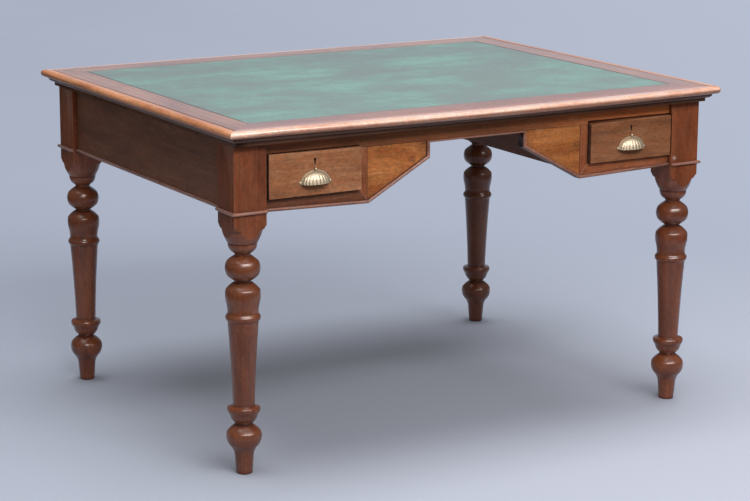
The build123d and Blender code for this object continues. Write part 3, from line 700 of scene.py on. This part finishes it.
def panelled(place):
    """A place on the stiles and spandrels, with their heads under the dipped rail."""
    place = settled(place)
    if abs(place.z - FRIEZE_HEAD) < EDGE_REACH:
        place = Vector((place.x, place.y, place.z - RAIL_DIP))
    return place


def dipped(place):
    """How the long rail's lower edge dips between the drawers."""
    if place.z < FRIEZE_HEAD + EDGE_REACH and abs(place.x) < STILE_OUTER:
        place = Vector((place.x, place.y, place.z - RAIL_DIP))
    return place


def beaded(place):
    """A place on the long bead, which is lower and thinner over the kneehole."""
    place = settled(place)
    if place.z > ARCH_HEAD:
        height = ARCH_HEAD - BEAD_DROP + (place.z - ARCH_HEAD) * BEAD_THICKNESS
        place = Vector((place.x, place.y, height))
    return place


def worn(place):
    """How a drawer's left end, seen from its front, is short and the front of its top edge slopes."""
    x, y, z = place
    rightward = -math.copysign(1, y)
    on_left = x * rightward < 0
    if z > DRAWER_HEAD - EDGE_REACH:
        inner, outer = LEFT_DRAWER_SLOPE if on_left else RIGHT_DRAWER_SLOPE
        share = (abs(x) - DRAWER_INNER) / (DRAWER_OUTER - DRAWER_INNER)
        forward = (abs(y) - LOCK_FRONT) / (DRAWER_FACE - LOCK_FRONT)
        z += (inner + (outer - inner) * share) * min(max(forward, 0), 1)
    left_end = -DRAWER_OUTER if on_left else DRAWER_INNER
    if abs(x * rightward - left_end) < DRAWER_END_REACH:
        x += (LEFT_DRAWER_SHORT if on_left else RIGHT_DRAWER_SHORT) * rightward
    return Vector((x, y, z))


LEATHER_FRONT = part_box("leather_inset")[0][1]
TOP_FRONT = cad_low[1]
MOULDING_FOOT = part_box("under_moulding")[0][2]
MOULDING_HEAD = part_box("under_moulding")[1][2]


def sagged(place):
    """How the top's front edge has sunk in the middle, from the leather out to the nose."""
    x, y, z = place
    outward = min(max((y - LEATHER_FRONT) / (TOP_FRONT - LEATHER_FRONT), 0), 1)
    along = max(math.cos(math.pi * (x - SAG_MIDDLE) / SAG_LENGTH), 0)
    upward = min(max((z - MOULDING_FOOT) / (MOULDING_HEAD - MOULDING_FOOT), 0), 1)
    return Vector((x, y, z - TOP_SAG * outward * along * upward))


def handed(left, right):
    """Tones for the left and right halves of a long side, each seen from its own side."""
    return lambda middle: left if middle[0] * middle[1] > 0 else right


# Top
refine("border_front_board", "border_front", BORDER_FRONT_WOOD, FINE_EDGE, ALONG_X,
       bend=sagged)
refine("border_back_board", "border_back", BORDER_WOOD, FINE_EDGE, ALONG_X)
for end in ("left", "right"):
    refine(f"border_{end}_board", f"border_{end}", BORDER_WOOD, OPEN_JOINT, ALONG_Y,
           lengthwise=True)
refine("lip_sides_strips", "lip_sides", LIP_FRONT_HIGHLIGHT_WOOD, FINE_EDGE, ALONG_X, bend=sagged)
refine("lip_ends_strips", "lip_ends", LIP_WOOD, OPEN_JOINT, ALONG_Y, lengthwise=True)
# The front and back moulding strips are painted darker than the end strips: painted shade for how light falls
# on them.
refine("under_moulding_strips", "under_moulding", MOULDING_WOOD, FINE_EDGE, bend=sagged,
       tone=lambda middle: 1.08 if abs(middle[0]) > abs(middle[1]) else 0.42)
refine("top_panel_board", "top_panel", PINE, SOFT_EDGE, ALONG_X)


def stations(low, high, rim, step):
    """Places from low to high: both ends, a rim inside each, and even steps between."""
    between = [low + rim + step * k for k in range(1, int((high - low) / step))]
    places = [low, low + rim, *between, high - rim, high]
    return sorted({round(place, 6) for place in places if place <= high})


def leather_sheet():
    """The inset as a sheet with a faint swell and a turned-down edge."""
    low, high = (Vector(corner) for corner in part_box("leather_inset"))
    step = 9 * MM
    rim, fall, swell = 1.6 * MM, 0.6 * MM, 0.18 * MM
    columns = stations(low.x, high.x, rim, step)
    lines = stations(low.y, high.y, rim, step)
    work = bmesh.new()
    mark = work.faces.layers.int.new("edge")
    grid = []
    for x in columns:
        row = []
        for y in lines:
            inset = min(x - low.x, high.x - x, y - low.y, high.y - y)
            bend = min(inset / rim, 1.0)
            wave = noise.noise(Vector((x * 14, y * 14, 0.3))) * 0.5 - 0.5
            row.append(work.verts.new((x, y, high.z + swell * wave * bend - fall * (1 - bend))))
        grid.append(row)
    for first, second in zip(grid, grid[1:]):
        for a, b, c, d in zip(first, second, second[1:], first[1:]):
            work.faces.new((a, b, c, d))
    for face in work.faces:
        face[mark] = int(any(v.is_boundary for v in face.verts))
    rim_edges = [e for e in work.edges if e.is_boundary]
    walls = bmesh.ops.extrude_edge_only(work, edges=rim_edges)["geom"]
    foot = [part for part in walls if isinstance(part, bmesh.types.BMVert)]
    for vertex in foot:
        vertex.co.z = low.z
    bmesh.ops.contextual_create(work, geom=[e for e in work.edges if e.is_boundary])
    bmesh.ops.recalc_face_normals(work, faces=work.faces)
    build = Build()
    build.add(work, ALONG_X, random.Random("leather"), 1.0, [])
    work.free()
    piece = new_piece("leather_sheet", build.mesh("leather_sheet"), LEATHER, "desk")
    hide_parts("leather_inset")


leather_sheet()

# Frieze
for side in SIDES:
    refine(f"top_rail_{side}_board", f"top_rail_{side}", RAIL_WOOD, SOFT_EDGE, ALONG_X,
           bend=dipped, cuts=RAIL_CUTS)
    # The left bottom rail is darker as a painted shadow under its drawer; the right bottom rail and right
    # stile are lighter as painted light.
    refine(f"bottom_rails_{side}_boards", f"bottom_rails_{side}", STILE_WOOD, SOFT_EDGE,
           ALONG_X, tone=handed(0.52, 1.25), shape=settled)
    refine(f"stiles_{side}_boards", f"stiles_{side}", STILE_WOOD, SOFT_EDGE, ALONG_Z,
           tone=handed(1.05, 1.35), shape=panelled)
    refine(f"spandrels_{side}_boards", f"spandrels_{side}", PANEL_WOOD, SOFT_EDGE, ALONG_X,
           tone=handed(1.0, 0.93), shape=panelled)
    refine(f"bead_{side}_strips", f"bead_{side}", LONG_BEAD_WOOD, FINE_EDGE, shape=beaded)
refine("bead_ends_strips", "bead_ends", BEAD_WOOD, FINE_EDGE)
for end in ("left", "right"):
    refine(f"end_apron_{end}_board", f"end_apron_{end}", APRON_WOOD, SOFT_EDGE, ALONG_Y)
# Each leg's tone is painted light and shade for how much light reaches it; the back right leg is darkest.
for corner, shade in zip(CORNERS, (1.0, 1.22, 1.2, 0.8)):
    refine(f"leg_{corner}_turning", f"leg_{corner}", LEG_WOOD, SOFT_EDGE, ALONG_Z,
           tone=lambda middle: shade, lengthwise=True)

# Hidden case work
refine("partition_boards", "partitions", APRON_WOOD, SOFT_EDGE, ALONG_Y)
refine("runner_boards", "runners", PINE, SOFT_EDGE, ALONG_Y)
refine("kicker_battens", "kickers", PINE, SOFT_EDGE, ALONG_Y)
refine("stop_blocks", "drawer_stops", PINE, SOFT_EDGE, ALONG_Y)
frame["nodes"]["top_screws"].data.materials.clear()
frame["nodes"]["top_screws"].data.materials.append(STEEL)

# Drawers
for corner in CORNERS:
    drawer = f"{corner}_drawer"
    face = f"{drawer}_face"
    refine(f"{drawer}_front_board", face, DRAWER_WOOD, SOFT_EDGE, ALONG_X,
           tone=handed(1.0, 0.82), shape=worn, lengthwise=True, dark_ends=True)
    refine(f"{drawer}_side_boards", f"{drawer}_sides", OAK, FINE_EDGE, ALONG_Y, shape=worn)
    refine(f"{drawer}_back_board", f"{drawer}_back", OAK, FINE_EDGE, ALONG_X)
    refine(f"{drawer}_bottom_board", f"{drawer}_bottom", OAK, FINE_EDGE, ALONG_Y)
    refine(f"{drawer}_shell_pull", f"{drawer}_pull", PULL_BRASS, 0, ALONG_Z)
    for part, material in (("lock", LOCK_BRASS), ("bolt", STEEL)):
        node = frame["nodes"][f"{drawer}_{part}"]
        node.data.materials.clear()
        node.data.materials.append(material)

# Floor and backdrop: one sheet that curves up behind the desk. Its colour is a painted pool of light under
# the desk that widens backwards, painted lighter at the right, with painted darkness outside the pool.
NEAR_LEFT = linear(171, 178, 193)
NEAR_RIGHT = linear(186, 190, 204)
FAR_LEFT = linear(168, 176, 194)
FAR_RIGHT = linear(182, 190, 208)
PAINTED_DARK_SURROUND = linear(60, 58, 56)
WARM_BOUNCE = (0.55, 0.5, 0.43, 1.0)
POOL_SIDE = (1.2, 2.2)
POOL_FRONT = (-2.0, -1.0)
POOL_WIDENING = 0.16
FLOOR_REACH = 9.0
BACKDROP_TURN = 2.5
BACKDROP_HEIGHT = 7.0


def backdrop():
    """A seamless sheet: floor, a wide bend and a wall, square to the camera.

    It gives the desk less and warmer light than it shows, and glows behind the desk.
    """
    g = Graph("backdrop_paper")
    place = g.place()
    parts = g.node("SeparateXYZ", {0: place}).outputs
    near_share = g.spread(parts["X"], -1.0, 1.0)
    far_share = g.spread(parts["X"], -2.4, 2.4)
    near = g.mix(near_share, NEAR_LEFT, NEAR_RIGHT)
    far = g.mix(far_share, FAR_LEFT, FAR_RIGHT)
    depth = g.spread(parts["Y"], -1.6, 1.6)
    cloud = g.noise(g.scaled(place, (0.9, 0.9, 0.9)), 2.0)
    body = g.mix(depth, near, far)
    body = g.mix(g.spread(cloud, 0.35, 0.65, 0.0, 0.12), body, FAR_RIGHT)
    # Painted darkness outside the painted pool of light.
    aside = g.maths("MULTIPLY_ADD", parts["Y"], -POOL_WIDENING, g.maths("ABSOLUTE", parts["X"]))
    outside = g.maths("MAXIMUM", g.spread(aside, *POOL_SIDE), g.spread(parts["Y"], *POOL_FRONT, 1.0, 0.0))
    body = g.mix(outside, body, PAINTED_DARK_SURROUND)
    path = g.node("LightPath").outputs
    seen = g.maths("MAXIMUM", path["Is Camera Ray"], path["Is Glossy Ray"])
    seen = g.maths("MAXIMUM", seen, path["Is Transmission Ray"])
    bounce = g.mix(seen, g.mix(1.0, body, WARM_BOUNCE, "MULTIPLY"), body)
    paper = g.node("BsdfDiffuse", {"Color": bounce}).outputs["BSDF"]
    glow = g.node("Emission", {"Color": body, "Strength": 1.0}).outputs["Emission"]
    behind = g.spread(parts["Y"], 1.0, 2.4)
    share = g.maths("MULTIPLY", behind, seen)
    surface = g.node("MixShader", {0: share, 1: paper, 2: glow}).outputs["Shader"]
    g.node("OutputMaterial", {"Surface": surface})
    outline = [(-FLOOR_REACH, 0)]
    steps = 24
    for k in range(steps + 1):
        turn = math.pi / 2 * k / steps
        outline.append((FLOOR_REACH + BACKDROP_TURN * math.sin(turn), BACKDROP_TURN * (1 - math.cos(turn))))
    outline.append((FLOOR_REACH + BACKDROP_TURN, BACKDROP_HEIGHT))
    work = bmesh.new()
    rows = [[work.verts.new((side * FLOOR_REACH, away, up)) for side in (-1, 1)] for away, up in outline]
    for first, second in zip(rows, rows[1:]):
        face = work.faces.new((first[0], first[1], second[1], second[0]))
        face.smooth = True
    mesh = bpy.data.meshes.new("backdrop")
    work.to_mesh(mesh)
    work.free()
    mesh.materials.append(g.material)
    sheet = bpy.data.objects.new("backdrop", mesh)
    sheet.rotation_euler = (0, 0, -math.radians(CAMERA_YAW))
    bpy.context.scene.collection.objects.link(sheet)


def aimed(light, place, target):
    """A lamp at a place, pointed at a target."""
    holder = bpy.data.objects.new(light.name, light)
    holder.location = place
    holder.rotation_euler = (Vector(target) - Vector(place)).to_track_quat("-Z", "Y").to_euler()
    bpy.context.scene.collection.objects.link(holder)
    return holder


SOFT_WHITE = (1.0, 0.98, 0.96)
WARM_WHITE = (1.0, 0.97, 0.94)
SKY_WHITE = (1.0, 0.99, 0.98)
SKY_ENERGY = 0.97
SKY_ANGLE = math.radians(34)
WORLD_STRENGTH = 0.17
FRIEZE_AIM = (0, 0, 0.5)


def soft_lamp(name, size, energy, colour, place, target=FRIEZE_AIM):
    """A rectangular lamp of a width and height, pointed at a target."""
    lamp = bpy.data.lights.new(name, "AREA")
    lamp.shape = "RECTANGLE"
    lamp.size, lamp.size_y = size
    lamp.energy = energy
    lamp.color = colour
    return aimed(lamp, place, target)


def studio():
    """Two wide overhead lights, soft lamps in front and at both sides, and an even world.

    The sheen lamp shows in reflections alone, and the left-hand lamp in none.
    """
    for name, aside in (("overhead_left", -0.5), ("overhead_right", 0.6)):
        sky = bpy.data.lights.new(name, "SUN")
        sky.energy = SKY_ENERGY
        sky.angle = SKY_ANGLE
        sky.color = SKY_WHITE
        aimed(sky, (aside, 0.18, 3.0), (0, 0, 0))
    soft_lamp("front_right", (1.6, 1.1), 20, SOFT_WHITE, (1.9, -3.4, 3.2))
    soft_lamp("front", (3.4, 1.4), 128, SOFT_WHITE, (-0.45, -3.8, 3.5))
    sheen = soft_lamp("front_sheen", (5.2, 2.0), 270, SOFT_WHITE, (-0.45, -3.85, 3.55))
    sheen.visible_diffuse = False
    fill = soft_lamp("front_left", (2.4, 1.6), 24, WARM_WHITE, (-4.0, -2.6, 1.0), (0, 0, 0.6))
    fill.visible_glossy = False
    world = bpy.data.worlds.new("studio")
    world.use_nodes = True
    background = world.node_tree.nodes["Background"].inputs
    background["Color"].default_value = (*SOFT_WHITE, 1)
    background["Strength"].default_value = WORLD_STRENGTH
    bpy.context.scene.world = world


def photographer():
    """The camera at the photograph's place, with its small roll."""
    camera = bpy.data.cameras.new("camera")
    camera.lens = CAMERA_LENS
    camera.sensor_width = SENSOR_WIDTH
    holder = bpy.data.objects.new("camera", camera)
    turn = Matrix.Rotation(-math.radians(CAMERA_YAW), 4, "Z")
    tilt = Matrix.Rotation(math.radians(90 - CAMERA_PITCH), 4, "X")
    roll = Matrix.Rotation(-math.radians(CAMERA_ROLL), 4, "Z")
    holder.matrix_world = Matrix.Translation(CAMERA_PLACE) @ turn @ tilt @ roll
    bpy.context.scene.collection.objects.link(holder)
    bpy.context.scene.camera = holder


backdrop()
studio()
photographer()
bpy.context.scene.view_settings.view_transform = "Standard"
